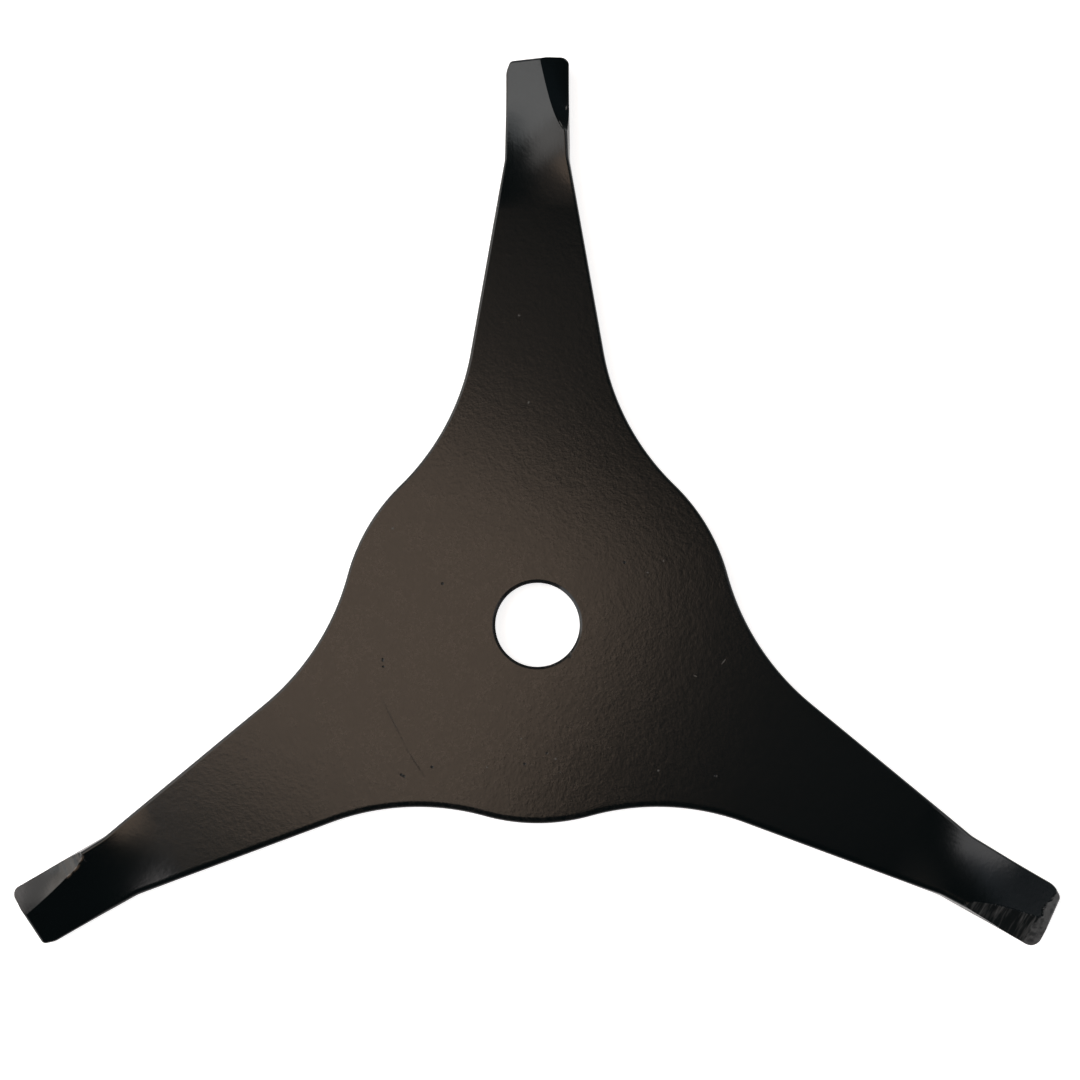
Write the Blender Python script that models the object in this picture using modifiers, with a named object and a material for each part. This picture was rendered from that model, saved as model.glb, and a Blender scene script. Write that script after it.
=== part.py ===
# Three-armed brush cutter blade: one flat plate with a centre bore. The end of each arm is twisted
# about the arm's own length, and its raised edge is ground to a cutting bevel.
# Units are metres. The origin is the bore's centre at mid thickness, +Z is the bore's axis towards
# the face with the rolled edges and the ground bevels, and +Y runs along one arm.

import math

import bmesh
import bpy
from mathutils import Matrix, Vector

# Plate
ARM_COUNT = 3
PLATE_THICKNESS = 0.004
BORE_DIAMETER = 0.0254
HUB_DIAMETER = 0.1180
WAIST_RADIUS = 0.075
BLADE_DIAMETER = 0.350

# Arms, seen along the bore
TIP_WIDTH = 0.0192
FLANK_LEAN = math.radians(9.74)
SHOULDER_DISTANCE = 0.1432
LEADING_CORNER_RADIUS = 0.0022
TRAILING_CORNER_BACK = 0.0035
TRAILING_CORNER_IN = 0.0018

# Rims: rolled on the upper face by the press, only broken on the lower face, and round the bore
ROLLED_RIM = 0.0012
BROKEN_RIM = 0.0003
BORE_RIM = 0.0006

# Twist of each arm's end: the leading edge rises and the trailing edge drops
TWIST_ANGLE = math.radians(18.0)
TWIST_START = 0.127
TWIST_LENGTH = 0.035

# Bevel ground along the leading edge, measured on the plate before it is twisted
BEVEL_LENGTH = 0.0238
BEVEL_RUN_IN = 0.0080
BEVEL_WIDTH = 0.0081
BEVEL_FLARE = 0.6
BEVEL_LAND = 0.0002

# How finely round stretches are divided
HUB_STEPS = 14
WAIST_STEPS = 12
CORNER_STEPS = 5
RIM_STEPS = 4
BORE_STEPS = 64
TWIST_STEPS = 16
TWIST_STRIPS = 4
BEVEL_STEPS = 12

HALF_THICKNESS = PLATE_THICKNESS / 2
HALF_TIP = TIP_WIDTH / 2
HUB_RADIUS = HUB_DIAMETER / 2
BORE_RADIUS = BORE_DIAMETER / 2
TIP_RADIUS = BLADE_DIAMETER / 2
ARM_SPACING = 2 * math.pi / ARM_COUNT

# How far a cutter stands clear of what it cuts
CUTTER_MARGIN = 0.001
WELD_DISTANCE = 0.000001

# Edges that turn more than this are shaded as edges, smaller ones as part of a round
SHARP_ANGLE = math.radians(25)


def arc(centre, radius, start, end, steps):
    """Points on a circle about centre, from one angle to another, both ends included."""
    angles = [start + (end - start) * i / steps for i in range(steps + 1)]
    return [centre + radius * Vector((math.cos(a), math.sin(a))) for a in angles]


def leading_side():
    """Half an arm's outline on +X, from the middle of the hub's round out to the shoulder.

    The concave waist arc touches both the hub's circle and the straight flank: its centre lies
    one waist radius off the flank's line, and hub radius plus waist radius from the bore.
    """
    outward = Vector((math.cos(FLANK_LEAN), math.sin(FLANK_LEAN)))
    along = Vector((-outward.y, outward.x))
    shoulder = Vector((HALF_TIP, SHOULDER_DISTANCE))
    base = shoulder + outward * WAIST_RADIUS
    reach = HUB_RADIUS + WAIST_RADIUS
    slide = base.dot(along)
    centre = base + along * (math.sqrt(slide ** 2 - base.length_squared + reach ** 2) - slide)
    middle = math.pi / 2 - ARM_SPACING / 2
    touch = math.atan2(centre.y, centre.x)
    hub = arc(Vector((0, 0)), HUB_RADIUS, middle, touch, HUB_STEPS // 2)
    waist = arc(centre, WAIST_RADIUS, touch + math.pi, FLANK_LEAN + math.pi, WAIST_STEPS)
    return hub[:-1] + waist + [shoulder]


def arm_outline():
    """An arm along +Y: out along the leading side, across the end, back along the trailing side."""
    leading = leading_side()
    corner = Vector((HALF_TIP - LEADING_CORNER_RADIUS, TIP_RADIUS - LEADING_CORNER_RADIUS))
    end = arc(corner, LEADING_CORNER_RADIUS, 0, math.pi / 2, CORNER_STEPS)
    end.append(Vector((TRAILING_CORNER_IN - HALF_TIP, TIP_RADIUS)))
    end.append(Vector((-HALF_TIP, TIP_RADIUS - TRAILING_CORNER_BACK)))
    trailing = [Vector((-p.x, p.y)) for p in reversed(leading[1:])]
    return leading + end + trailing


def mesh_copy(thing, name, collection):
    """A plain mesh object made from what the viewport shows of another object, which goes."""
    bpy.context.view_layer.update()
    evaluated = thing.evaluated_get(bpy.context.evaluated_depsgraph_get())
    mesh = bpy.data.meshes.new_from_object(evaluated)
    matrix = thing.matrix_world.copy()
    bpy.data.objects.remove(thing)
    copy = bpy.data.objects.new(name, mesh)
    copy.matrix_world = matrix
    collection.objects.link(copy)
    return copy


def edit(mesh, change, *values):
    """Runs a change on the mesh's faces and keeps the result."""
    bm = bmesh.new()
    bm.from_mesh(mesh)
    change(bm, *values)
    bm.to_mesh(mesh)
    bm.free()


def draw_loop(curve, points):
    """Adds a closed loop of straight stretches to a flat curve."""
    loop = curve.splines.new("POLY")
    loop.points.add(len(points) - 1)
    for knot, p in zip(loop.points, points):
        knot.co = (p.x, p.y, 0, 1)
    loop.use_cyclic_u = True


def flat_plate(collection):
    """The pressed plate: outline and bore as a flat curve of full thickness, made a mesh."""
    curve = bpy.data.curves.new("outline", "CURVE")
    curve.dimensions = "2D"
    curve.fill_mode = "BOTH"
    curve.extrude = HALF_THICKNESS
    points = []
    for i in range(ARM_COUNT):
        turn = Matrix.Rotation(i * ARM_SPACING, 2)
        points += [turn @ p for p in arm_outline()]
    draw_loop(curve, points)
    draw_loop(curve, arc(Vector((0, 0)), BORE_RADIUS, 0, 2 * math.pi, BORE_STEPS)[:-1])
    outline = bpy.data.objects.new("outline", curve)
    collection.objects.link(outline)
    plate = mesh_copy(outline, "plate", collection)
    edit(plate.data, weld_and_merge_faces)
    return plate


def weld_and_merge_faces(bm):
    """Joins the curve's loose caps to its sides, and merges the triangles of each cap."""
    bmesh.ops.remove_doubles(bm, verts=bm.verts, dist=WELD_DISTANCE)
    bmesh.ops.dissolve_limit(bm, angle_limit=math.radians(0.1), verts=bm.verts, edges=bm.edges)
    bmesh.ops.recalc_face_normals(bm, faces=bm.faces)


def weight_rims(bm):
    """Marks each rim with its share of the rolled edge: outline above, outline below, bore."""
    weight = bm.edges.layers.float.new("bevel_weight_edge")
    for edge in bm.edges:
        if edge.calc_face_angle() < math.radians(45):
            continue
        ends = [v.co for v in edge.verts]
        if min(p.z for p in ends) * max(p.z for p in ends) < 0:
            continue
        if max(p.xy.length for p in ends) < (BORE_RADIUS + HUB_RADIUS) / 2:
            edge[weight] = BORE_RIM / ROLLED_RIM
        elif ends[0].z > 0:
            edge[weight] = 1.0
        else:
            edge[weight] = BROKEN_RIM / ROLLED_RIM


def roll_rims(plate):
    """Rounds the rims of the outline and of the bore by their weights."""
    edit(plate.data, weight_rims)
    rims = plate.modifiers.new("rims", "BEVEL")
    rims.limit_method = "WEIGHT"
    rims.width = ROLLED_RIM
    rims.segments = RIM_STEPS
    rims.use_clamp_overlap = False
    rims.loop_slide = False


def cutter(name, mesh, collection):
    """An object that only cuts: hidden from renders and drawn as wires."""
    tool = bpy.data.objects.new(name, mesh)
    tool.hide_render = True
    tool.display_type = "WIRE"
    collection.objects.link(tool)
    return tool


def loft(name, sections):
    """A closed mesh through equal loops of points, with its two ends capped."""
    bm = bmesh.new()
    loops = [[bm.verts.new(p) for p in section] for section in sections]
    count = len(loops[0])
    for near, far in zip(loops, loops[1:]):
        for i in range(count):
            j = (i + 1) % count
            bm.faces.new((near[i], near[j], far[j], far[i]))
    bm.faces.new(loops[0])
    bm.faces.new(loops[-1])
    bmesh.ops.recalc_face_normals(bm, faces=bm.faces)
    mesh = bpy.data.meshes.new(name)
    bm.to_mesh(mesh)
    bm.free()
    return mesh


def bevel_section(distance):
    """What the wheel takes away across the arm at a distance from the bore, as a triangle.

    The bevel's width grows from nothing, fast at first and then slowly, and from the end of the
    run-in on it goes down to the land at the leading edge. The ground line is carried on past
    both of its ends, so that the cutter stands clear of the plate.
    """
    ground = distance - (TIP_RADIUS - BEVEL_LENGTH)
    width = bevel_width(ground)
    slope = (PLATE_THICKNESS - BEVEL_LAND) / bevel_width(max(ground, BEVEL_RUN_IN))
    past_inner = Vector((HALF_TIP - width, distance, HALF_THICKNESS))
    past_inner += CUTTER_MARGIN * Vector((-1, 0, slope))
    past_outer = Vector((HALF_TIP, distance, HALF_THICKNESS - slope * width))
    past_outer += CUTTER_MARGIN * Vector((1, 0, -slope))
    above = Vector((past_outer.x, distance, past_inner.z + CUTTER_MARGIN))
    return [past_inner, past_outer, above]


def bevel_width(ground):
    """Width of the bevel on the upper face, at a distance from where the grinding starts."""
    return BEVEL_WIDTH * (ground / BEVEL_LENGTH) ** BEVEL_FLARE


def bevel_cutter(collection, turn):
    """The wedge that grinds one arm, turned to that arm."""
    reach = BEVEL_LENGTH + CUTTER_MARGIN
    start = TIP_RADIUS - BEVEL_LENGTH
    sections = []
    for i in range(BEVEL_STEPS + 1):
        section = bevel_section(start + reach * i / BEVEL_STEPS)
        sections.append([turn @ p for p in section])
    return cutter("bevel_cutter", loft("bevel_cutter", sections), collection)


def cut(thing, tool):
    """Takes a cutter's shape out of a thing."""
    boolean = thing.modifiers.new(tool.name, "BOOLEAN")
    boolean.operation = "DIFFERENCE"
    boolean.solver = "EXACT"
    boolean.object = tool


def score_arm(bm, turn):
    """Divides an arm across its twist and along its end, so that its faces can follow the twist."""
    along = turn @ Vector((0, 1, 0))
    across = turn @ Vector((1, 0, 0))
    for i in range(TWIST_STEPS + 1):
        distance = TWIST_START + TWIST_LENGTH * i / TWIST_STEPS
        everything = bm.verts[:] + bm.edges[:] + bm.faces[:]
        bmesh.ops.bisect_plane(bm, geom=everything, dist=WELD_DISTANCE,
                               plane_co=along * distance, plane_no=along)
    for i in range(1, TWIST_STRIPS):
        offset = TIP_WIDTH * (i / TWIST_STRIPS - 0.5)
        faces = [f for f in bm.faces
                 if min(v.co.dot(along) for v in f.verts) > TWIST_START - CUTTER_MARGIN]
        edges = {e for f in faces for e in f.edges}
        verts = {v for f in faces for v in f.verts}
        bmesh.ops.bisect_plane(bm, geom=[*verts, *edges, *faces], dist=WELD_DISTANCE,
                               plane_co=across * offset, plane_no=across)


def twist_arm(bm, turn):
    """Turns an arm's end about its length, by a share of the angle that eases in and out."""
    back = turn.inverted()
    for v in bm.verts:
        p = back @ v.co
        share = min(max((p.y - TWIST_START) / TWIST_LENGTH, 0), 1)
        angle = TWIST_ANGLE * share ** 2 * (3 - 2 * share)
        v.co = turn @ Matrix.Rotation(-angle, 3, "Y") @ p


def shape_arms(bm):
    """Scores and twists every arm."""
    for i in range(ARM_COUNT):
        turn = Matrix.Rotation(i * ARM_SPACING, 3, "Z")
        score_arm(bm, turn)
        twist_arm(bm, turn)


def powder_coat():
    """Black powder coat: a dark, half glossy paint."""
    material = bpy.data.materials.new("powder_coat")
    material.use_nodes = True
    shader = material.node_tree.nodes["Principled BSDF"]
    shader.inputs["Base Color"].default_value = (0.022, 0.021, 0.021, 1)
    shader.inputs["Roughness"].default_value = 0.42
    shader.inputs["Metallic"].default_value = 0.0
    return material


def collection_named(name):
    """A new collection in the scene."""
    collection = bpy.data.collections.new(name)
    bpy.context.scene.collection.children.link(collection)
    return collection


def build():
    """Plate, rims and bevels while it is flat, and the twist last."""
    for thing in list(bpy.data.objects):
        bpy.data.objects.remove(thing)
    parts = collection_named("brush_cutter_blade")
    cutters = collection_named("cutters")
    plate = flat_plate(parts)
    roll_rims(plate)
    for i in range(ARM_COUNT):
        cut(plate, bevel_cutter(cutters, Matrix.Rotation(i * ARM_SPACING, 3, "Z")))
    blade = mesh_copy(plate, "blade", parts)
    edit(blade.data, shape_arms)
    blade.data.shade_smooth()
    blade.data.set_sharp_from_angle(angle=SHARP_ANGLE)
    blade.data.materials.clear()
    blade.data.materials.append(powder_coat())
    shading = blade.modifiers.new("shading", "WEIGHTED_NORMAL")
    shading.keep_sharp = True


build()
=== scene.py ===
# Brush cutter blade: the finished surface of the pressed, twisted and ground plate, its black powder
# coat, and a plain studio. Lengths are in metres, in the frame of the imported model: the origin is the
# bore's centre at mid thickness, +Z is out of the upper face and +Y runs along the first arm.

import math

import bmesh
import bpy
import numpy as np
from mathutils import Matrix, Vector


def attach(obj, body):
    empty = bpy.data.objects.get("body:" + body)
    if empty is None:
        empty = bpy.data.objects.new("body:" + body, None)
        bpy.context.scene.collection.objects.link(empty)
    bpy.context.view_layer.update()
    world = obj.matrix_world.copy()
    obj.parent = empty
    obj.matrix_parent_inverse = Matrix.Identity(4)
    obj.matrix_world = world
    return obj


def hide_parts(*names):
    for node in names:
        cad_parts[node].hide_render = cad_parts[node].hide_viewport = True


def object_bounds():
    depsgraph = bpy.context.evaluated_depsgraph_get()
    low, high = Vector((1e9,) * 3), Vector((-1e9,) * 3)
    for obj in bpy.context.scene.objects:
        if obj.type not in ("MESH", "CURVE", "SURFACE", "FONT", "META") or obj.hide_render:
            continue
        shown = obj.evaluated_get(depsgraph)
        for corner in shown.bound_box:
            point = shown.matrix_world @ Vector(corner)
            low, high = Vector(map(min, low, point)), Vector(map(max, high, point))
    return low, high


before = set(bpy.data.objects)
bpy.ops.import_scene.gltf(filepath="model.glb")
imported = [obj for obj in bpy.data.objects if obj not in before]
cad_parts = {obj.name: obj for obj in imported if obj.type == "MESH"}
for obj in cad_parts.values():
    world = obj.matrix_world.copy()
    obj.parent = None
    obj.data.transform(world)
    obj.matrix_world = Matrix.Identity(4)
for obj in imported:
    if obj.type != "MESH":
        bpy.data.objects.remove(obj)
cad_box = [[float(v) for v in corner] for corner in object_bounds()]

# Plate
ARM_COUNT = 3
ARM_SPACING = 2 * math.pi / ARM_COUNT
HALF_THICKNESS = 0.002
EDGE_BUILD = 0.0002
END_RADIUS = 0.175
TIP_RADIUS = END_RADIUS - EDGE_BUILD
BORE_RADIUS = 0.0127
HUB_RADIUS = 0.0590
WAIST_RADIUS = 0.075
FLANK_LEAN = math.radians(9.74)
HALF_TIP = 0.0096
HALF_SHOULDER = 0.00975
SHOULDER_DISTANCE = 0.1432
SHOULDER_RADIUS = 0.015

# Corners of an arm's end, seen along the bore
LEADING_CORNER_RADIUS = (0.0022, 0.0022, 0.0032)
TRAILING_CORNER_BACK = (0.0033, 0.0034, 0.0036)
TRAILING_CORNER_IN = (0.0013, 0.0011, 0.0020)
END_CORNER_RADIUS = 0.0014
SIDE_CORNER_RADIUS = 0.0055

# Rims: rolled above, broken below and round the bore
ROLLED_RIM = 0.0012
ROLLED_WIDTH = 0.0019
ROLLED_LEAST = 0.0009
ROLLED_NARROWS = 0.150
ROLLED_NARROWING = 0.012
BROKEN_RIM = 0.0003
BORE_RIM = 0.00085
BORE_RIM_ROUND = 0.0002
BORE_RIM_SLOPE = math.radians(38)

# Twist
TWIST_ANGLE = math.radians(18.0)
TWIST_START = 0.127
TWIST_LENGTH = 0.035

# Ground bevels, one value for each arm: the arm along +Y, then anticlockwise
BEVEL_LENGTH = (0.0238, 0.0238, 0.0245)
BEVEL_RUN_IN = (0.0080, 0.0080, 0.0170)
BEVEL_WIDTH = (0.0081, 0.0077, 0.0084)
BEVEL_RIPPLE = (0.0, 0.0, 0.000020)
BEVEL_FLARE = 0.6
BEVEL_LAND = 0.00035
RIPPLE_LEAN = 0.10
RIPPLE_START = 0.001
RIPPLE_SINES = ((3.3, 0.0, 1.0), (5.1, 1.3, 0.8), (8.7, 0.4, 0.5))

# Ragged start of a bevel: how far the wheel smeared past the crease, and the share of that in its
# waves. Then, in millimetres from the bevel's start: the waves' radians for each one, their first
# crest, the length over which the smear opens, where it starts to close, and over what length.
SMEAR_REACH = (0.0, 0.00052, 0.0)
SMEAR_WAVE = 0.2
SMEAR_WAVE_RATE = 2.28
SMEAR_CREST = 0.8
SMEAR_OPENING = 0.8
SMEAR_CLOSES = 4
SMEAR_CLOSING = 4.5

# Facet ground across the end, as a share of the plate's thickness
FACET_START = (0.1749, 0.1749, 0.1716)
FACET_SLANT = 0.15
FACET_DEPTH = (0.0, 0.0, 0.30)
FACET_WAVE = 0.0004
FACET_SINES = ((0.9, 0.6, 1.0), (2.3, 0.0, 0.5))

# Points along each stretch of the outline, and rows between the middle of an arm and its lower face
HUB_POINTS = 24
WAIST_POINTS = 44
FLANK_POINTS = 20
TWIST_POINTS = 40
SHOULDER_POINTS = 6
TIP_POINTS = 62
FAN_POINTS = 24
CORNER_POINTS = 12
END_POINTS = 26
CHAMFER_POINTS = 8
INNER_ROWS = 9
OUTER_ROWS = 20
RIM_ROWS = 10
WALL_ROWS = 3
LOWER_RIM_ROWS = 3
LOWER_FACE_ROWS = 6
BORE_ROWS = 6

# Where the rows start: the middle of the fan at an arm's end, and the length walked round the bore
# for each length walked outside, at the middle of the hub's round
FAN_DISTANCE = 0.165
FIRST_SLOPE = 0.35

# Where a row meets a crease: samples along it, the depth that counts as ground, the share of a row
# that has no crease, and the most that a crease may have
CREASE_SAMPLES = 600
GROUND_DEPTH = 0.0000001
PLAIN_SHARE = 0.7
LAST_SHARE = 0.98

# What the coat is told of a ground place: the depth and the facet's share from which it counts,
# and the value of a bevel that has no ripples
GROUND_SHADE_DEPTH = 0.000001
FACET_SHADE_SHARE = 0.001
SMOOTH_GROUND = 0.25

# A height above everything, the least wall, how far off the bore its coat reaches, and where points
# are merged and edges stay sharp
CLEAR_ABOVE = 1.0
WALL_LEAST = 0.00003
WALL_MARGIN = 0.0001
WELD_DISTANCE = 0.000001
SHARP_ANGLE = math.radians(14)

MILLIMETRES = 1000


def ease(share):
    """Smooth step from 0 to 1: three times the square of the share less twice its cube."""
    share = np.clip(share, 0, 1)
    return share ** 2 * (3 - 2 * share)


def sines(place, parts):
    """Sum of sines, each a share times the sine of its radians for a millimetre times the place,
    plus its shift."""
    t = place * MILLIMETRES
    return sum(share * np.sin(rate * t + shift) for rate, shift, share in parts)


def arc_run(centre, radius, start, end, count, side=1):
    """Points and outward normals on an arc: centre plus radius times the ray at even angles.

    The last point is left to the next stretch. side is -1 where the plate lies outside the circle.
    """
    angles = start + (end - start) * np.arange(count) / count
    rays = np.stack([np.cos(angles), np.sin(angles)], axis=1)
    return np.asarray(centre) + radius * rays, side * rays


def straight_run(start, end, count):
    """Points and outward normals evenly along a straight stretch, its end left to the next one."""
    start = np.asarray(start, float)
    end = np.asarray(end, float)
    along = (end - start) / np.linalg.norm(end - start)
    points = start + (end - start) * (np.arange(count) / count)[:, None]
    return points, np.tile([along[1], -along[0]], (count, 1))


def corner_run(before, corner, after, radius, count):
    """A rounded corner: its arc touches both stretches, and its reach is the radius times the
    tangent of half the turn. Gives the arc's run, its first point and its last."""
    before, corner, after = (np.asarray(p, float) for p in (before, corner, after))
    arriving = (corner - before) / np.linalg.norm(corner - before)
    leaving = (after - corner) / np.linalg.norm(after - corner)
    turn = math.atan2(arriving[0] * leaving[1] - arriving[1] * leaving[0], arriving @ leaving)
    reach = radius * math.tan(abs(turn) / 2)
    side = 1 if turn > 0 else -1
    first = corner - arriving * reach
    centre = first + side * radius * np.array([-arriving[1], arriving[0]])
    start = math.atan2(first[1] - centre[1], first[0] - centre[0])
    run = arc_run(centre, radius, start, start + turn, count, side)
    return run, first, corner + leaving * reach


def joined(runs):
    """Several stretches as one."""
    return np.concatenate([run[0] for run in runs]), np.concatenate([run[1] for run in runs])


def leading_side():
    """The leading side of an arm's outline, from the middle of the hub's round to the fan.

    The concave waist arc touches both the hub's circle and the straight flank: its centre lies
    one waist radius off the flank's line, and hub radius plus waist radius from the bore.
    """
    outward = np.array([math.cos(FLANK_LEAN), math.sin(FLANK_LEAN)])
    along = np.array([-outward[1], outward[0]])
    shoulder = np.array([HALF_SHOULDER, SHOULDER_DISTANCE])
    base = shoulder + outward * WAIST_RADIUS
    slide = base @ along
    reach = HUB_RADIUS + WAIST_RADIUS
    centre = base + along * (math.sqrt(slide ** 2 - base @ base + reach ** 2) - slide)
    middle = math.pi / 2 - ARM_SPACING / 2
    touch = math.atan2(centre[1], centre[0])
    flank = centre - outward * WAIST_RADIUS
    twist = flank + (shoulder - flank) * (TWIST_START - flank[1]) / (shoulder[1] - flank[1])
    fan = np.array([HALF_TIP, FAN_DISTANCE])
    turn, turn_first, turn_last = corner_run(flank, shoulder, fan, SHOULDER_RADIUS, SHOULDER_POINTS)
    return joined([
        arc_run((0, 0), HUB_RADIUS, middle, touch, HUB_POINTS),
        arc_run(centre, WAIST_RADIUS, touch + math.pi, FLANK_LEAN + math.pi, WAIST_POINTS, -1),
        straight_run(flank, twist, FLANK_POINTS),
        straight_run(twist, turn_first, TWIST_POINTS),
        turn,
        straight_run(turn_last, fan, TIP_POINTS),
        (np.array([fan]), np.array([[1.0, 0.0]])),
    ])


def middle_of_arm(points):
    """For each point of the leading side, the point on the bore or on the arm's middle line that
    its row starts from: round the bore for the hub's points, and level with the point on the arm.

    Up to the flank, the length walked inside is a cubic in the length walked outside, with its
    slopes given at both ends. It is stretched a little so that one point falls where the bore
    meets the middle line.
    """
    flank = HUB_POINTS + WAIST_POINTS
    ring = BORE_RADIUS + BORE_RIM
    quarter = ring * ARM_SPACING / 2
    steps = np.linalg.norm(np.diff(points[:flank + 1], axis=0), axis=1)
    outside = np.concatenate([[0], np.cumsum(steps)])
    total = outside[-1]
    inside = quarter + points[flank, 1] - ring
    s = outside / total
    first_slope = FIRST_SLOPE * total
    last_slope = math.cos(FLANK_LEAN) * total
    walked = ((s ** 3 - 2 * s ** 2 + s) * first_slope + (3 * s ** 2 - 2 * s ** 3) * inside
              + (s ** 3 - s ** 2) * last_slope)
    k = int(np.argmin(np.abs(walked - quarter)))
    beyond = quarter + (walked - walked[k]) * (inside - quarter) / (inside - walked[k])
    walked = np.where(np.arange(len(walked)) <= k, walked * quarter / walked[k], beyond)
    angles = math.pi / 2 - ARM_SPACING / 2 + np.minimum(walked, quarter) / ring
    starts = np.stack([ring * np.cos(angles), ring * np.sin(angles)], axis=1)
    starts[k:, 0] = 0
    starts[k:, 1] = ring + walked[k:] - quarter
    level = np.stack([np.zeros(len(points) - flank - 1), points[flank + 1:, 1]], axis=1)
    return np.concatenate([starts, level]), angles[:k + 1]


def end_of_arm(arm):
    """The outline round an arm's end: leading edge, rounded corner, end, cut-off corner, trailing
    edge. The end has a point where the bevel's crease meets it."""
    crease = HALF_TIP - BEVEL_WIDTH[arm]
    radius = LEADING_CORNER_RADIUS[arm]
    corner = (HALF_TIP - radius, TIP_RADIUS - radius)
    far = (TRAILING_CORNER_IN[arm] - HALF_TIP, TIP_RADIUS)
    near = (-HALF_TIP, TIP_RADIUS - TRAILING_CORNER_BACK[arm])
    fan = (-HALF_TIP, FAN_DISTANCE)
    end = (0, TIP_RADIUS)
    turn_far, far_first, far_last = corner_run(end, far, near, END_CORNER_RADIUS, CHAMFER_POINTS)
    turn_near, near_first, near_last = corner_run(far, near, fan, SIDE_CORNER_RADIUS, CHAMFER_POINTS)
    points, normals = joined([
        straight_run((HALF_TIP, FAN_DISTANCE), (HALF_TIP, corner[1]), FAN_POINTS),
        arc_run(corner, radius, 0, math.pi / 2, CORNER_POINTS),
        straight_run((corner[0], TIP_RADIUS), (crease, TIP_RADIUS), END_POINTS),
        straight_run((crease, TIP_RADIUS), far_first, END_POINTS),
        turn_far,
        straight_run(far_last, near_first, CHAMFER_POINTS),
        turn_near,
        straight_run(near_last, fan, FAN_POINTS),
    ])
    return points[1:], normals[1:]


def bevel_width(ground, arm):
    """A bevel's width: its full width times its share of the length to the power of the flare. Near
    its start the smear's reach is added, with a slow cosine wave on it, under a window that eases
    open and eases closed again."""
    plain = BEVEL_WIDTH[arm] * np.clip(ground / BEVEL_LENGTH[arm], 0, None) ** BEVEL_FLARE
    t = ground * MILLIMETRES
    wave = np.cos(SMEAR_WAVE_RATE * (t - SMEAR_CREST))
    window = ease(t / SMEAR_OPENING) * (1 - ease((t - SMEAR_CLOSES) / SMEAR_CLOSING))
    return plain + SMEAR_REACH[arm] * (1 + SMEAR_WAVE * wave) * window


def bevel_height(x, y, arm):
    """Height of the wheel's plane: the upper face at the crease, and down to the land at the edge
    once the run-in is over. The ripples across it are a sum of three sines along the arm, and
    ease in past the crease."""
    ground = y - (TIP_RADIUS - BEVEL_LENGTH[arm])
    deep = bevel_width(np.maximum(ground, BEVEL_RUN_IN[arm]), arm)
    slope = (2 * HALF_THICKNESS - BEVEL_LAND) / deep
    past = x - (HALF_TIP - bevel_width(ground, arm))
    waves = sines(y + RIPPLE_LEAN * x, RIPPLE_SINES)
    plane = HALF_THICKNESS - slope * past - BEVEL_RIPPLE[arm] * waves * ease(past / RIPPLE_START)
    return np.where(ground > 0, plane, CLEAR_ABOVE)


def facet_share(x, y, arm):
    """Share of the thickness that the end's facet takes: none at its wavy start, and from there it
    grows evenly to its depth at the end."""
    start = FACET_START[arm] - FACET_SLANT * x + FACET_WAVE * sines(x, FACET_SINES)
    return FACET_DEPTH[arm] * np.clip((y - start) / np.maximum(END_RADIUS - start, FACET_WAVE), 0, 1)


def top_height(x, y, height, arm):
    """What is left of an upper height after the bevel, and then the end's facet, are ground."""
    left = np.minimum(height, bevel_height(x, y, arm))
    return (left + HALF_THICKNESS) * (1 - facet_share(x, y, arm)) - HALF_THICKNESS


def crease_share(starts, ends, arm):
    """How far along each row the first ground place lies, from dense samples of the height."""
    t = np.linspace(0, 1, CREASE_SAMPLES)
    places = starts[:, None] + (ends - starts)[:, None] * t[None, :, None]
    height = top_height(places[..., 0], places[..., 1], HALF_THICKNESS, arm)
    ground = height < HALF_THICKNESS - GROUND_DEPTH
    first = np.argmax(ground, axis=1)
    found = ground.any(axis=1) & (first > 0)
    return np.where(found, np.minimum(t[first], LAST_SHARE), PLAIN_SHARE)


def rim_width(points, normals, arm):
    """Width of the rolled rim: its least width, and more by how far the rim faces the side that
    the die left more room on, eased out before the arm's end."""
    turn = arm * ARM_SPACING
    facing = np.clip(-normals[:, :1] * math.sin(turn) - normals[:, 1:] * math.cos(turn), 0, 1)
    narrowed = ease((points[:, 1:] - ROLLED_NARROWS) / ROLLED_NARROWING)
    return ROLLED_LEAST + (ROLLED_WIDTH - ROLLED_LEAST) * facing * (1 - narrowed)


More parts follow.
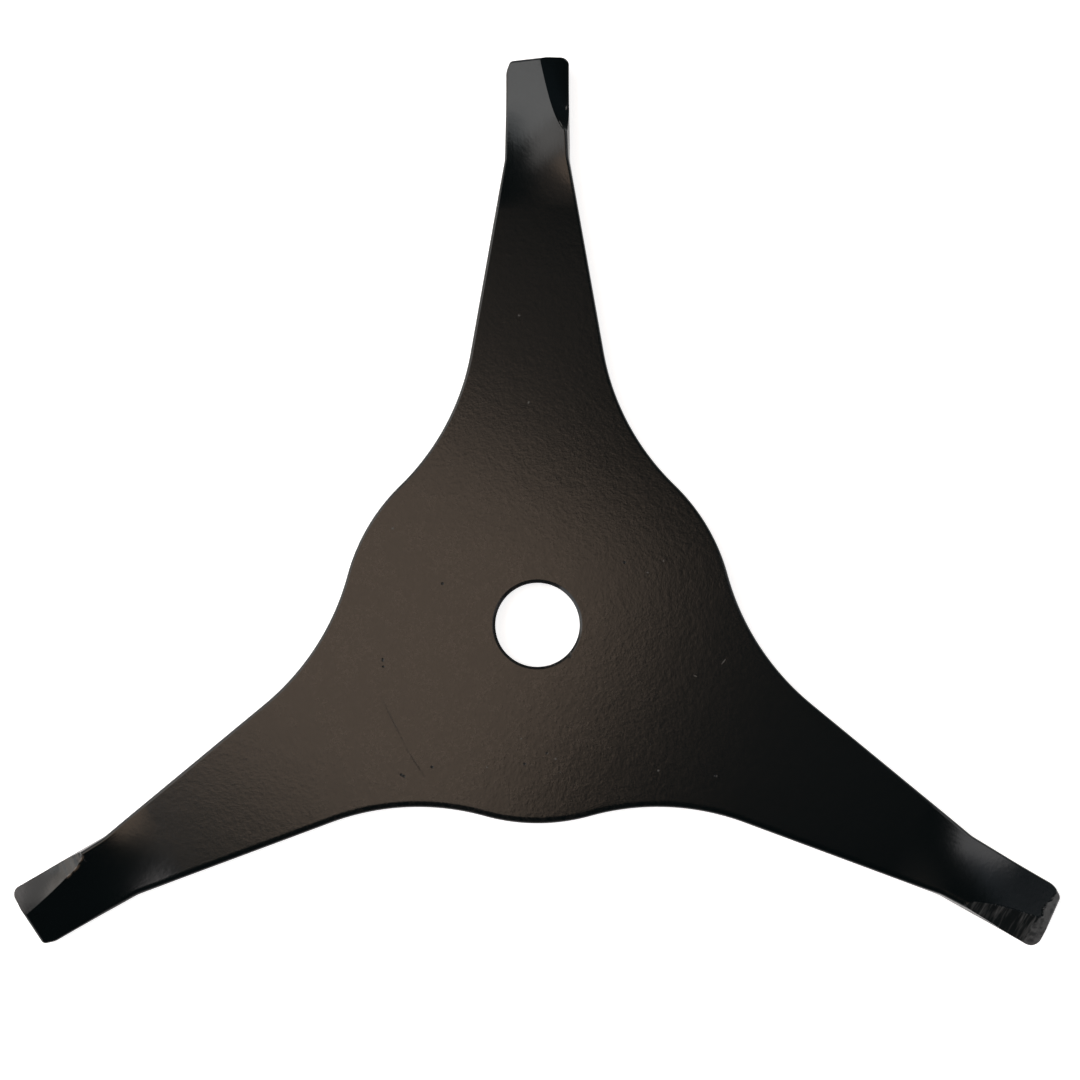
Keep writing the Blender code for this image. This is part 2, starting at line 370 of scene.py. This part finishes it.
def arm_rows(points, normals, starts, arm):
    """Rows of points from the arm's middle over the upper face, the rolled rim, the wall and the
    lower rim to the middle of the lower face, before the twist: an array of row, place and xyz."""
    width = rim_width(points, normals, arm)
    rim = points - normals * width
    share = crease_share(starts, rim, arm)[:, None]
    inner = share * np.linspace(0, 1, INNER_ROWS + 1)[None, :-1]
    outer = share + (1 - share) * np.linspace(0, 1, OUTER_ROWS + 1)[None, :]
    t = np.concatenate([inner, outer], axis=1)[..., None]
    face = starts[:, None] + (rim - starts)[:, None] * t
    face_z = np.full(face.shape[:2], HALF_THICKNESS)
    bend = np.linspace(0, math.pi / 2, RIM_ROWS + 1)[1:]
    roll = points[:, None] - normals[:, None] * width[:, None] * (1 - np.sin(bend))[None, :, None]
    roll_z = np.tile(HALF_THICKNESS - ROLLED_RIM * (1 - np.cos(bend)), (len(points), 1))
    upper = np.concatenate([face, roll], axis=1)
    upper_z = top_height(upper[..., 0], upper[..., 1], np.concatenate([face_z, roll_z], axis=1), arm)
    foot = BROKEN_RIM - HALF_THICKNESS
    upper_z = np.maximum(upper_z, foot + WALL_LEAST)
    down = np.linspace(0, 1, WALL_ROWS + 1)[1:]
    wall = np.repeat(points[:, None], WALL_ROWS, axis=1)
    wall_z = upper_z[:, -1:] + (foot - upper_z[:, -1:]) * down
    bend = np.linspace(0, math.pi / 2, LOWER_RIM_ROWS + 1)[1:]
    under = points[:, None] - normals[:, None] * (BROKEN_RIM * (1 - np.cos(bend)))[None, :, None]
    under_z = np.tile(foot - BROKEN_RIM * np.sin(bend), (len(points), 1))
    back = np.linspace(0, 1, LOWER_FACE_ROWS + 1)[1:, None]
    lower = under[:, -1:] + (starts[:, None] - under[:, -1:]) * back
    lower_z = np.full(lower.shape[:2], -HALF_THICKNESS)
    flat = np.concatenate([upper, wall, under, lower], axis=1)
    height = np.concatenate([upper_z, wall_z, under_z, lower_z], axis=1)
    return np.concatenate([flat, height[..., None]], axis=2)


def twisted(places):
    """Turns each place about the arm's length by the eased share of the twist that it has reached."""
    angle = TWIST_ANGLE * ease((places[..., 1] - TWIST_START) / TWIST_LENGTH)
    x = places[..., 0] * np.cos(angle) - places[..., 2] * np.sin(angle)
    z = places[..., 0] * np.sin(angle) + places[..., 2] * np.cos(angle)
    return np.stack([x, places[..., 1], z], axis=-1)


def turned(places, angle):
    """Places turned anticlockwise about the bore."""
    c, s = math.cos(angle), math.sin(angle)
    x = places[..., 0] * c - places[..., 1] * s
    y = places[..., 0] * s + places[..., 1] * c
    return np.stack([x, y, places[..., 2]], axis=-1)


def bore_wall(angles):
    """The bore's surface as a ring of rows, at the angles that the faces have round the bore. The
    rim's slope grows evenly from none to its full value over the rounded part, stays there as far
    as the wall, and the height is the sum of its tangents. The lower rim is the same mirrored."""
    inward = np.concatenate([np.linspace(0, BORE_RIM_ROUND, BORE_ROWS), [BORE_RIM]])
    slope = BORE_RIM_SLOPE * np.clip(inward / BORE_RIM_ROUND, 0, 1)
    middle = np.tan((slope[1:] + slope[:-1]) / 2)
    height = HALF_THICKNESS - np.concatenate([[0], np.cumsum(np.diff(inward) * middle)])
    radius = BORE_RADIUS + BORE_RIM - inward
    radius = np.concatenate([radius, radius[::-1]])
    height = np.concatenate([height, -height[::-1]])
    return np.stack([np.cos(angles)[:, None] * radius, np.sin(angles)[:, None] * radius,
                     np.tile(height, (len(angles), 1))], axis=-1)


def ring_faces(rows, places, offset=0, swap=False):
    """Quads of a grid that closes on itself round its rows, each a place, the next place and the
    same two in the next row, in the other order where swap is set."""
    i = np.arange(rows)[:, None]
    j = np.arange(places - 1)[None, :]
    k = (i + 1) % rows
    a, b = i * places + j, i * places + j + 1
    c, d = k * places + j + 1, k * places + j
    quads = np.stack([a, d, c, b] if swap else [a, b, c, d], axis=-1).reshape(-1, 4)
    return quads + offset


def finished_blade():
    """The whole blade as one closed mesh. It keeps each point's place before the twist, and how
    far it lies on a ground bevel or on the end's facet, for the coat to read."""
    points, normals = leading_side()
    starts, bore_angles = middle_of_arm(points)
    flip = np.array([-1.0, 1.0])
    rows, flats, angles = [], [], []
    for arm in range(ARM_COUNT):
        end_points, end_normals = end_of_arm(arm)
        outline = np.concatenate([points, end_points, (points * flip)[:0:-1]])
        outward = np.concatenate([normals, end_normals, (normals * flip)[:0:-1]])
        fan = np.tile([0.0, FAN_DISTANCE], (len(end_points), 1))
        inside = np.concatenate([starts, fan, (starts * flip)[:0:-1]])
        outline = outline + outward * EDGE_BUILD
        flat = arm_rows(outline, outward, inside, arm)
        flats.append(flat)
        rows.append(turned(twisted(flat), arm * ARM_SPACING))
        arm_angles = np.concatenate([bore_angles, math.pi - bore_angles[-2:0:-1]])
        angles.append(arm_angles + arm * ARM_SPACING)
    grid = np.concatenate(rows)
    flat = np.concatenate(flats)
    arms = np.repeat(np.arange(ARM_COUNT), [len(r) for r in rows])
    ring = bore_wall(np.concatenate(angles))
    places = np.concatenate([grid.reshape(-1, 3), ring.reshape(-1, 3)])
    count = grid.shape[0] * grid.shape[1]
    quads = np.concatenate([ring_faces(grid.shape[0], grid.shape[1]),
                            ring_faces(ring.shape[0], ring.shape[1], count, swap=True)])
    mesh = bpy.data.meshes.new("blade_surface")
    mesh.from_pydata(places, [], quads)
    ground = np.zeros(grid.shape[:2])
    rough = np.zeros(grid.shape[:2])
    upper = INNER_ROWS + OUTER_ROWS + 1 + RIM_ROWS
    for arm in range(ARM_COUNT):
        own = arms == arm
        part = flat[own][:, :upper]
        left = top_height(part[..., 0], part[..., 1], HALF_THICKNESS, arm)
        low = left < HALF_THICKNESS - GROUND_SHADE_DEPTH
        ground[own, :upper] = low * (1.0 if BEVEL_RIPPLE[arm] else SMOOTH_GROUND)
        rough[own, :upper] = facet_share(part[..., 0], part[..., 1], arm) > FACET_SHADE_SHARE
    none = np.zeros(ring.shape[0] * ring.shape[1])
    store(mesh, "ground", "FLOAT", np.concatenate([ground.ravel(), none]))
    store(mesh, "rough", "FLOAT", np.concatenate([rough.ravel(), none]))
    flat_places = np.concatenate([flat.reshape(-1, 3), ring.reshape(-1, 3)])
    store(mesh, "flat_place", "FLOAT_VECTOR", flat_places)
    return mesh


def store(mesh, name, kind, values):
    """Keeps one value for each point of the mesh."""
    layer = mesh.attributes.new(name, kind, "POINT")
    layer.data.foreach_set("value" if kind == "FLOAT" else "vector", np.ravel(values))


def weld(mesh):
    """Merges the doubled points of the seams and of the fan's pole, and shades the surface smooth
    but for its creases."""
    bm = bmesh.new()
    bm.from_mesh(mesh)
    bmesh.ops.remove_doubles(bm, verts=bm.verts, dist=WELD_DISTANCE)
    bmesh.ops.dissolve_degenerate(bm, edges=bm.edges, dist=WELD_DISTANCE)
    bm.to_mesh(mesh)
    bm.free()
    mesh.shade_smooth()
    mesh.set_sharp_from_angle(angle=SHARP_ANGLE)


def add_blade():
    """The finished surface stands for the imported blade."""
    mesh = finished_blade()
    weld(mesh)
    mesh.materials.append(powder_coat())
    mesh.materials.append(bore_coat())
    centres = np.empty(len(mesh.polygons) * 3)
    mesh.polygons.foreach_get("center", centres)
    wall = np.linalg.norm(centres.reshape(-1, 3)[:, :2], axis=1) < BORE_RADIUS + WALL_MARGIN
    mesh.polygons.foreach_set("material_index", wall.astype(int))
    blade = bpy.data.objects.new("blade_finish", mesh)
    bpy.context.scene.collection.objects.link(blade)
    shading = blade.modifiers.new("shading", "WEIGHTED_NORMAL")
    shading.keep_sharp = True
    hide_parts("blade")
    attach(blade, "root")


# Core of a random spot as a share of its size, and half the depth of a patch on the flat face and
# on a raised edge
SPOT_CORE = 0.4
PATCH_DEPTH = 0.003
RAISED_DEPTH = 0.010


class Nodes:
    """Short ways to add and join nodes in one material, or in the room's light."""

    def __init__(self, material):
        material.use_nodes = True
        self.tree = material.node_tree
        self.shader = self.tree.nodes.get("Principled BSDF")

    def add(self, kind, **values):
        """A node with its settings, and its inputs joined or set by name."""
        node = self.tree.nodes.new(kind)
        inputs = values.pop("inputs", {})
        for name, value in values.items():
            setattr(node, name, value)
        for name, value in inputs.items():
            self.join(value, node.inputs[name])
        return node

    def join(self, value, socket):
        """A link where the value is an output, and a plain setting where it is not."""
        if isinstance(value, bpy.types.NodeSocket):
            self.tree.links.new(value, socket)
        else:
            socket.default_value = value

    def maths(self, operation, a, b=0.0, clamp=False):
        """One sum on two values."""
        node = self.add("ShaderNodeMath", operation=operation, use_clamp=clamp, inputs={0: a, 1: b})
        return node.outputs[0]

    def added(self, total, parts):
        """The total plus each pattern times its share."""
        for pattern, share in parts:
            total = self.maths("ADD", total, self.maths("MULTIPLY", pattern, share))
        return total

    def ramp(self, value, low, high, start=0.0, end=1.0, kind="LINEAR"):
        """Start where the value is low, end where it is high, and held beyond both."""
        node = self.add("ShaderNodeMapRange", interpolation_type=kind, inputs={
            "Value": value, "From Min": low, "From Max": high, "To Min": start, "To Max": end})
        return node.outputs[0]

    def scaled(self, vector, scale):
        """A place stretched by a number of its own along each axis."""
        node = self.add("ShaderNodeMapping", inputs={"Vector": vector, "Scale": scale})
        return node.outputs["Vector"]

    def noise(self, vector, scale, detail, roughness):
        """Smooth noise from 0 to 1."""
        node = self.add("ShaderNodeTexNoise", inputs={
            "Vector": vector, "Scale": scale, "Detail": detail, "Roughness": roughness})
        return node.outputs["Fac"]

    def mix(self, share, a, b):
        """Two colours mixed."""
        node = self.add("ShaderNodeMix", data_type="RGBA", inputs={0: share, 6: a, 7: b})
        return node.outputs[2]

    def spots(self, vector, scale, size, share):
        """Round spots in a share of the pattern's cells: 1 in a spot's core, and 0 past its size."""
        cells = self.add("ShaderNodeTexVoronoi", inputs={"Vector": vector, "Scale": scale})
        pick = self.add("ShaderNodeSeparateColor", inputs={"Color": cells.outputs["Color"]})
        near = self.ramp(cells.outputs["Distance"], size, size * SPOT_CORE)
        chosen = self.maths("LESS_THAN", pick.outputs[0], share)
        return self.maths("MULTIPLY", near, chosen)

    def patches(self, place, patches, steep=1.0, height=HALF_THICKNESS, depth=PATCH_DEPTH):
        """Single ellipses on the surface, each a place, half a length, half a width and a turn in
        degrees: one less the distance from the middle in half sizes, times the steepness, and
        held between 0 and 1."""
        total = 0.0
        for x, y, length, width, turn in patches:
            own = self.add("ShaderNodeMapping", vector_type="TEXTURE", inputs={
                "Vector": place, "Location": (x, y, height),
                "Rotation": (0, 0, math.radians(turn)), "Scale": (length, width, depth)})
            near = self.add("ShaderNodeTexGradient", gradient_type="SPHERICAL", inputs={
                "Vector": own.outputs["Vector"]})
            total = self.maths("MAXIMUM", near.outputs["Fac"], total)
        return self.maths("MULTIPLY", total, steep, clamp=True)


# Colours of the coat, of the painted sheen on the hub's lit side, of its wear and of what lies on it
COAT_COLOUR = (0.0018, 0.0033, 0.0038, 1)
# Painted sheen: a pale brownish colour that stands in for the warm light reflected on the hub's lit
# side
PAINTED_SHEEN_COLOUR = (0.0145, 0.0134, 0.0125, 1)
WORN_COLOUR = (0.060, 0.061, 0.062, 1)
DUST_COLOUR = (0.085, 0.085, 0.080, 1)
# Chipped places: a pale grey, partly the bare chips and partly a painted glint of their facets, which
# face the light at the left
CHIP_AND_GLINT_COLOUR = (0.12, 0.12, 0.118, 1)
SMEAR_COLOUR = (0.062, 0.046, 0.034, 1)
BORE_COLOUR = (0.008, 0.008, 0.008, 1)

# Gloss: the coat's own roughness, what each kind of flaw or ground place adds to it, and the bore's
COAT_IOR = 1.4
COAT_ROUGHNESS = 0.18
SPOT_ROUGHNESS = 0.5
SCRATCH_ROUGHNESS = 0.11
MARKED_ROUGHNESS = 0.16
FACET_ROUGHNESS = 0.10
BORE_ROUGHNESS = 0.6
BORE_ROUGHNESS_RANGE = 0.3
BORE_SPECULAR = 0.05

# Noise patterns: scale for a metre, detail and roughness. The wheel's marks and the drawn lines are
# stretched first, by a number for each axis of the arm's flat shape.
PEEL = (760.0, 2.0, 0.55)
SWELL = (170.0, 2.0, 0.5)
GRAIN = (1300.0, 2.0, 0.6)
BLOTCHES = (420.0, 3.0, 0.6)
BORE_MOTTLE = (700.0, 3.0, 0.6)
MARKS = (1.0, 3.0, 0.65)
MARKS_STRETCH = (90.0, 1000.0, 60.0)
LINES = (1.0, 2.0, 0.6)
LINES_STRETCH = (1700.0, 25.0, 60.0)

# Depths of the relief
PEEL_DEPTH = 0.000022
GRAIN_DEPTH = 0.000018
SWELL_DEPTH = 0.000022
PIT_DEPTH = 0.00010
SCRATCH_DEPTH = 0.000018
MARKS_DEPTH = 0.00010
LINES_DEPTH = 0.000008

# Bands over which something fades in: low and high, then the shares at both, if not 0 and 1. The
# first two are distances along an arm, the others values of a pattern.
CALMING_BAND = (0.100, 0.140, 1.0, 0.65)
DRAWN_BAND = (0.125, 0.140)
WORN_BAND = (0.50, 0.68)
PATCHY_BAND = (0.38, 0.52, 0.25)
MARKED_BAND = (0.5, 1.0)
# The next two break up the painted sheen on the hub, by the grain and by the swell
SHEEN_GRAIN_BAND = (0.42, 0.75)
SHEEN_CLOUD_BAND = (0.3, 0.7, 0.5, 1.5)
WORN_SHARE = 0.8

# Random spots: cells for a metre, size in a cell, and share of the cells
RANDOM_PITS = (95.0, 0.045, 0.10)
RANDOM_DUST = (150.0, 0.030, 0.05)

# Patches of the coat: place, half length, half width and turn in degrees of each, and how steeply
# a kind starts at its rim. Chips and smears lie on the raised edges, at heights of their own.
# Painted sheen: one round patch over the hub's lit left side, where a paler brownish colour stands in
# for the warm light reflected there
PAINTED_SHEEN = [(-0.025, -0.010, 0.095, 0.095, 0)]
PAINTED_SHEEN_STEEP = 1.6
PAINTED_SHEEN_HEIGHT = 0.0
PAINTED_SHEEN_DEPTH = 1.0
PITS = [
    (-0.0405, -0.0448, 0.0005, 0.0004, -20), (-0.0398, -0.0452, 0.0006, 0.0004, -20),
    (-0.0314, -0.0425, 0.0005, 0.0004, 0), (-0.0463, -0.0106, 0.0006, 0.0004, 90),
    (-0.0461, -0.0126, 0.0005, 0.0003, 0), (-0.0038, -0.0416, 0.0005, 0.0004, 0),
    (0.0028, -0.0384, 0.0005, 0.0003, 30), (-0.0285, 0.0123, 0.0005, 0.0004, 0),
    (0.0262, 0.0186, 0.0005, 0.0004, 0), (0.0094, -0.0091, 0.0013, 0.0008, -45),
]
PIT_STEEP = 1.6
SPECKS = [
    (-0.0048, -0.0341, 0.0004, 0.0003, 90), (0.0054, -0.0401, 0.0005, 0.0004, 0),
    (-0.0150, -0.0426, 0.0004, 0.0003, 0), (-0.0436, 0.0290, 0.0005, 0.0004, 0),
    (0.0360, -0.0436, 0.0005, 0.0004, 0), (0.0379, 0.0190, 0.0005, 0.0003, 90),
    (0.0557, -0.0112, 0.0013, 0.00024, 50), (0.0472, -0.0155, 0.0007, 0.00024, -20),
    (0.0331, 0.0155, 0.0005, 0.0003, 0), (-0.0055, 0.0941, 0.0005, 0.0004, 0),
    (-0.0026, 0.0673, 0.0006, 0.0004, 60),
]
SCRATCH = [(-0.0430, -0.0292, 0.0120, 0.00030, -63), (-0.0366, -0.0410, 0.0070, 0.00028, -56)]
# Chipped places near the first arm's end, on its raised edge: their pale colour is partly the bare
# chips and partly a painted glint
CHIPS_AND_GLINTS = [(0.0090, 0.1590, 0.0008, 0.0003, 80), (0.0073, 0.1534, 0.0013, 0.00025, -63)]
CHIP_AND_GLINT_STEEP = 2.0
CHIP_AND_GLINT_HEIGHT = 0.0035
SMEARS = [
    (-0.1351, -0.0695, 0.0014, 0.0006, 62), (-0.1366, -0.0722, 0.0018, 0.0006, 48),
    (-0.1387, -0.07435, 0.0015, 0.0005, 45),
]
SMEAR_STEEP = 1.5
SMEAR_HEIGHT = 0.0037


def powder_coat():
    """Black powder coat: half glossy, with orange peel and a fine grain that calm down towards the
    arm ends, a soft swell, a faint pale painted sheen round the hub's lit side that stands in for
    the warm light reflected there, pits, a scratch, specks of dust and chipped places, whose pale
    colour is partly the bare chips and partly a painted glint. The drawn arm ends have fine lines
    along them. On the rippled bevel the wheel's marks run across the arm and wear through the
    coat, the end's facet is worn in patches, and one bevel starts in a brownish smear."""
    material = bpy.data.materials.new("powder_coat")
    n = Nodes(material)
    place = n.add("ShaderNodeTexCoord").outputs["Object"]
    ground = n.add("ShaderNodeAttribute", attribute_name="ground").outputs["Fac"]
    facet = n.add("ShaderNodeAttribute", attribute_name="rough").outputs["Fac"]
    flat = n.add("ShaderNodeAttribute", attribute_name="flat_place").outputs["Vector"]
    along = n.add("ShaderNodeSeparateXYZ", inputs={"Vector": flat}).outputs["Y"]

    peel = n.noise(place, *PEEL)
    swell = n.noise(place, *SWELL)
    grain = n.noise(place, *GRAIN)
    marks = n.noise(n.scaled(flat, MARKS_STRETCH), *MARKS)
    lines = n.noise(n.scaled(flat, LINES_STRETCH), *LINES)
    pits = n.maths("MAXIMUM", n.spots(place, *RANDOM_PITS), n.patches(place, PITS, PIT_STEEP))
    dust = n.maths("MAXIMUM", n.spots(place, *RANDOM_DUST), n.patches(place, SPECKS))
    scratch = n.patches(place, SCRATCH)
    # Chipped places on the raised edge: their pale colour is partly the bare chips and partly a painted
    # glint
    chips_and_glints = n.patches(place, CHIPS_AND_GLINTS, CHIP_AND_GLINT_STEEP, CHIP_AND_GLINT_HEIGHT, RAISED_DEPTH)
    smears = n.patches(place, SMEARS, SMEAR_STEEP, SMEAR_HEIGHT, RAISED_DEPTH)

    marked = n.ramp(ground, *MARKED_BAND)
    streaks = n.maths("MULTIPLY", n.ramp(marks, *WORN_BAND), n.maths("MULTIPLY", marked, WORN_SHARE))
    patchy = n.maths("MULTIPLY", n.ramp(n.noise(place, *BLOTCHES), *PATCHY_BAND), facet)
    worn = n.maths("MAXIMUM", streaks, patchy)
    # Painted sheen: a paler brownish colour in a round patch on the hub's lit side, broken up by the
    # grain and the swell, stands in for the warm light reflected there
    painted_sheen = n.patches(place, PAINTED_SHEEN, PAINTED_SHEEN_STEEP, PAINTED_SHEEN_HEIGHT, PAINTED_SHEEN_DEPTH)
    painted_sheen = n.maths("MULTIPLY", n.ramp(grain, *SHEEN_GRAIN_BAND), painted_sheen)
    painted_sheen = n.maths("MULTIPLY", painted_sheen, n.ramp(swell, *SHEEN_CLOUD_BAND))
    colour = n.mix(painted_sheen, COAT_COLOUR, PAINTED_SHEEN_COLOUR)
    layers = [(worn, WORN_COLOUR), (dust, DUST_COLOUR), (chips_and_glints, CHIP_AND_GLINT_COLOUR), (smears, SMEAR_COLOUR)]
    for share, layer in layers:
        colour = n.mix(share, colour, layer)

    fine = n.added(0.0, [(peel, PEEL_DEPTH), (grain, GRAIN_DEPTH)])
    fine = n.maths("MULTIPLY", fine, n.ramp(along, *CALMING_BAND))
    drawn = n.maths("MULTIPLY", lines, n.ramp(along, *DRAWN_BAND))
    height = n.added(fine, [
        (swell, SWELL_DEPTH), (pits, -PIT_DEPTH), (scratch, -SCRATCH_DEPTH),
        (n.maths("MULTIPLY", marks, ground), MARKS_DEPTH), (drawn, LINES_DEPTH)])
    bump = n.add("ShaderNodeBump", inputs={"Height": height, "Distance": 1.0, "Strength": 1.0})
    rough = n.added(COAT_ROUGHNESS, [
        (n.maths("ADD", pits, dust), SPOT_ROUGHNESS), (scratch, SCRATCH_ROUGHNESS),
        (marked, MARKED_ROUGHNESS), (facet, FACET_ROUGHNESS)])

    n.join(colour, n.shader.inputs["Base Color"])
    n.join(rough, n.shader.inputs["Roughness"])
    n.join(bump.outputs["Normal"], n.shader.inputs["Normal"])
    n.shader.inputs["IOR"].default_value = COAT_IOR
    return material


def bore_coat():
    """The thin dull coat on the bore's wall, mottled from the coat's black to a little paler."""
    material = bpy.data.materials.new("bore_coat")
    n = Nodes(material)
    place = n.add("ShaderNodeTexCoord").outputs["Object"]
    mottle = n.noise(place, *BORE_MOTTLE)
    rough = n.added(BORE_ROUGHNESS, [(mottle, BORE_ROUGHNESS_RANGE)])
    n.join(n.mix(mottle, COAT_COLOUR, BORE_COLOUR), n.shader.inputs["Base Color"])
    n.join(rough, n.shader.inputs["Roughness"])
    n.shader.inputs["Specular IOR Level"].default_value = BORE_SPECULAR
    return material


FLOOR_SIZE = 6.0
FLOOR_COLOUR = (0.82, 0.82, 0.82, 1)
FLOOR_ROUGHNESS = 0.9
FLOOR_GLOW = 0.74
FLOOR_GLOW_NEAR = 0.5
FLOOR_GLOW_FAR = 1.6
WHITE = (1, 1, 1, 1)


def add_floor():
    """A pale floor that the blade lies on. What the camera and the blade's gloss see of it has a
    share of plain white added, all of it far from the blade, so that it stays white and keeps
    the shadow."""
    half = FLOOR_SIZE / 2
    z = cad_box[0][2]
    corners = [(-half, -half, z), (half, -half, z), (half, half, z), (-half, half, z)]
    mesh = bpy.data.meshes.new("floor")
    mesh.from_pydata(corners, [], [(0, 1, 2, 3)])
    material = bpy.data.materials.new("floor")
    n = Nodes(material)
    n.shader.inputs["Base Color"].default_value = FLOOR_COLOUR
    n.shader.inputs["Roughness"].default_value = FLOOR_ROUGHNESS
    n.shader.inputs["Specular IOR Level"].default_value = 0.0
    n.shader.inputs["Emission Color"].default_value = WHITE
    rays = n.add("ShaderNodeLightPath").outputs
    seen = n.maths("ADD", rays["Is Camera Ray"], rays["Is Glossy Ray"])
    seen = n.maths("ADD", seen, rays["Is Transmission Ray"], clamp=True)
    place = n.add("ShaderNodeTexCoord").outputs["Object"]
    away = n.add("ShaderNodeVectorMath", operation="LENGTH", inputs={0: place}).outputs["Value"]
    glow = n.ramp(away, FLOOR_GLOW_NEAR, FLOOR_GLOW_FAR, FLOOR_GLOW)
    n.join(n.maths("MULTIPLY", seen, glow), n.shader.inputs["Emission Strength"])
    mesh.materials.append(material)
    floor = bpy.data.objects.new("floor", mesh)
    bpy.context.scene.collection.objects.link(floor)


# Lamps: name, middle, size, degrees of turn in plan, radiance, and degrees of lean. Panels that lie
# over each other have heights of their own.
PANELS = [
    ("left_panel", (-0.65, 0.29, 0.900), (0.74, 0.58), -20, (1.95, 1.85, 1.78), 0),
    ("upper_left_panel", (-1.137, 0.875, 0.905), (1.50, 0.36), -34, (1.88, 1.96, 2.00), 0),
    ("lower_left_panel", (-0.50, -0.17, 0.910), (0.23, 0.66), -7, (3.00, 2.80, 2.78), 0),
    ("far_left_panel", (-2.02, 0.53, 0.915), (1.76, 1.70), 24, (2.95, 2.70, 2.45), 0),
    ("warm_panel", (-0.144, 0.058, 0.895), (0.36, 0.31), -30, (2.50, 1.86, 1.40), 0),
    ("lower_warm_panel", (-0.18, -0.115, 0.887), (0.26, 0.12), -10, (0.32, 0.29, 0.25), 0),
    ("middle_left_panel", (-0.44, 0.35, 0.920), (0.24, 0.20), -20, (0.95, 0.93, 0.90), 0),
    ("upper_warm_panel", (-0.10, 0.28, 0.898), (0.30, 0.20), -20, (0.40, 0.32, 0.27), 0),
    ("high_left_panel", (-1.88, 1.05, 0.925), (0.60, 0.40), -20, (2.20, 2.15, 2.10), 0),
    ("right_panel", (1.31, -0.29, 0.890), (0.79, 1.60), 44, (2.37, 2.33, 2.35), 0),
    ("faint_right_panel", (0.15, 0.02, 0.884), (0.24, 0.26), 0, (0.085, 0.080, 0.078), 0),
    ("right_end_panel", (0.62, 0.20, 0.893), (0.30, 0.16), 44, (0.28, 0.30, 0.34), 0),
    ("right_tip_panel", (0.66, 0.34, 0.888), (0.28, 0.14), 50, (0.20, 0.25, 0.30), 0),
    ("upper_right_panel", (0.75, 1.00, 0.885), (1.20, 0.80), 0, (0.06, 0.09, 0.11), 0),
    ("left_wall_panel", (-1.56, -0.57, 0.60), (1.20, 2.30), 20, (1.85, 1.89, 1.93), -56),
]

# The room, by the height of a direction: its strength near the horizon and overhead, the heights
# between which it falls, and the height at which the gloss no longer sees it as white
ROOM_LOW = 0.35
ROOM_HIGH = 0.015
ROOM_FALLS = 0.05
ROOM_FALLEN = 0.50
WHITE_ENDS = 0.25


def add_panel(name, middle, size, turn, radiance, lean):
    """A soft rectangular panel that faces down, leans by some degrees, and is then turned by some
    degrees in plan. Its power is its radiance times pi times its area, and the camera does not
    see it."""
    light = bpy.data.lights.new(name, "AREA")
    light.shape = "RECTANGLE"
    light.size, light.size_y = size
    strongest = max(radiance)
    light.color = [part / strongest for part in radiance]
    light.energy = strongest * math.pi * size[0] * size[1]
    panel = bpy.data.objects.new(name, light)
    panel.location = middle
    panel.rotation_euler = (0, math.radians(lean), math.radians(turn))
    panel.visible_camera = False
    bpy.context.scene.collection.objects.link(panel)


def add_lights():
    """Soft panels overhead at both sides, warmer and fainter ones near the middle, one that leans
    at the left, and a dim room. The camera sees the room as plain white, and the gloss sees it so
    near the horizon."""
    for panel in PANELS:
        add_panel(*panel)
    world = bpy.data.worlds.new("room")
    bpy.context.scene.world = world
    n = Nodes(world)
    background = n.tree.nodes["Background"]
    direction = n.add("ShaderNodeTexCoord").outputs["Generated"]
    up = n.add("ShaderNodeSeparateXYZ", inputs={"Vector": direction}).outputs["Z"]
    room = n.ramp(up, ROOM_FALLS, ROOM_FALLEN, ROOM_LOW, ROOM_HIGH, "SMOOTHSTEP")
    low = n.ramp(up, 0.0, WHITE_ENDS, 1.0, 0.0, "SMOOTHSTEP")
    rays = n.add("ShaderNodeLightPath").outputs
    seen = n.maths("ADD", rays["Is Glossy Ray"], rays["Is Transmission Ray"], clamp=True)
    seen = n.maths("MULTIPLY", seen, low)
    seen = n.maths("ADD", seen, rays["Is Camera Ray"], clamp=True)
    n.join(n.maths("MAXIMUM", seen, room), background.inputs["Strength"])
    background.inputs["Color"].default_value = WHITE


CAMERA_TARGET = (0.0008, 0.0256, 0.0)
CAMERA_DISTANCE = 0.619
CAMERA_TILT = math.radians(5.734)
CAMERA_PAN = math.radians(0.793)
CAMERA_ROLL = math.radians(-0.039)
CAMERA_LENS = 68.33
CAMERA_SENSOR = 36.0
CAMERA_CLIP = 0.01


def add_camera():
    """The camera looks almost straight down, from a little below the picture's middle."""
    data = bpy.data.cameras.new("camera")
    data.sensor_width = CAMERA_SENSOR
    data.lens = CAMERA_LENS
    data.clip_start = CAMERA_CLIP
    camera = bpy.data.objects.new("camera", data)
    bpy.context.scene.collection.objects.link(camera)
    back = Vector((math.sin(CAMERA_PAN), -math.sin(CAMERA_TILT) * math.cos(CAMERA_PAN),
                   math.cos(CAMERA_TILT) * math.cos(CAMERA_PAN)))
    right = Vector((0, 1, 0)).cross(back).normalized()
    up = back.cross(right)
    c, s = math.cos(CAMERA_ROLL), math.sin(CAMERA_ROLL)
    matrix = Matrix((right * c + up * s, up * c - right * s, back)).transposed().to_4x4()
    matrix.translation = Vector(CAMERA_TARGET) + back * CAMERA_DISTANCE
    camera.matrix_world = matrix
    bpy.context.scene.camera = camera


add_blade()
add_floor()
add_lights()
add_camera()
bpy.context.scene.view_settings.view_transform = "Standard"
